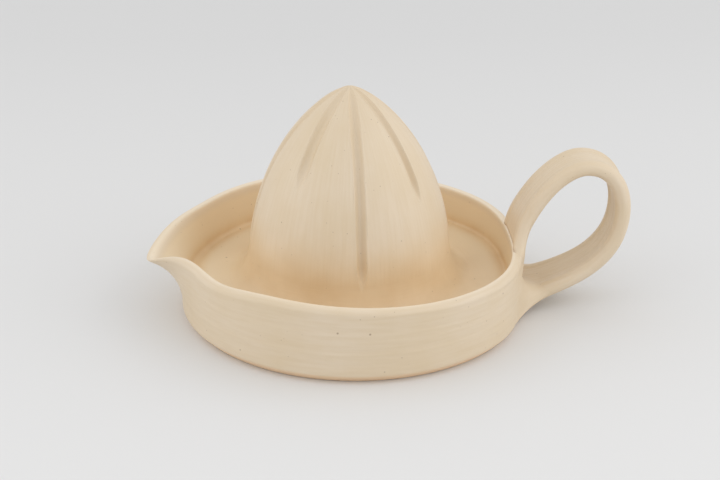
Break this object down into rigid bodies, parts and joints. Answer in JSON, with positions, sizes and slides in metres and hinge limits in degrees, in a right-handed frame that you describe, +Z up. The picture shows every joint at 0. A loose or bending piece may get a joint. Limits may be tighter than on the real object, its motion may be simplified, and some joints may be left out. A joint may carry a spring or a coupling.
{
  "type": "ceramic citrus juicer",
  "caption": "Hand-thrown stoneware citrus juicer: a shallow dish with a pulled pouring spout, a tall hollow fluted reamer cone and a looped strap handle opposite the spout.",
  "frame": {"origin": "on the table, under the middle of the whole juicer's length and width", "axes": "+X from the spout towards the handle, +Z up, so the spout points along -X"},
  "size_m": [0.18, 0.13, 0.0864],
  "materials": {
    "dish_glaze": "satin-matte cream glaze over speckled buff stoneware",
    "reamer_glaze": "satin-matte cream glaze over speckled buff stoneware",
    "handle_glaze": "satin-matte cream glaze over speckled buff stoneware"
  },
  "bodies": {
    "root": {"dish": "dish_glaze", "reamer": "reamer_glaze", "reamer_coil": "dish_glaze", "handle": "handle_glaze", "handle_upper_wad": "handle_glaze", "handle_lower_wad": "handle_glaze"}
  },
  "joints": []
}
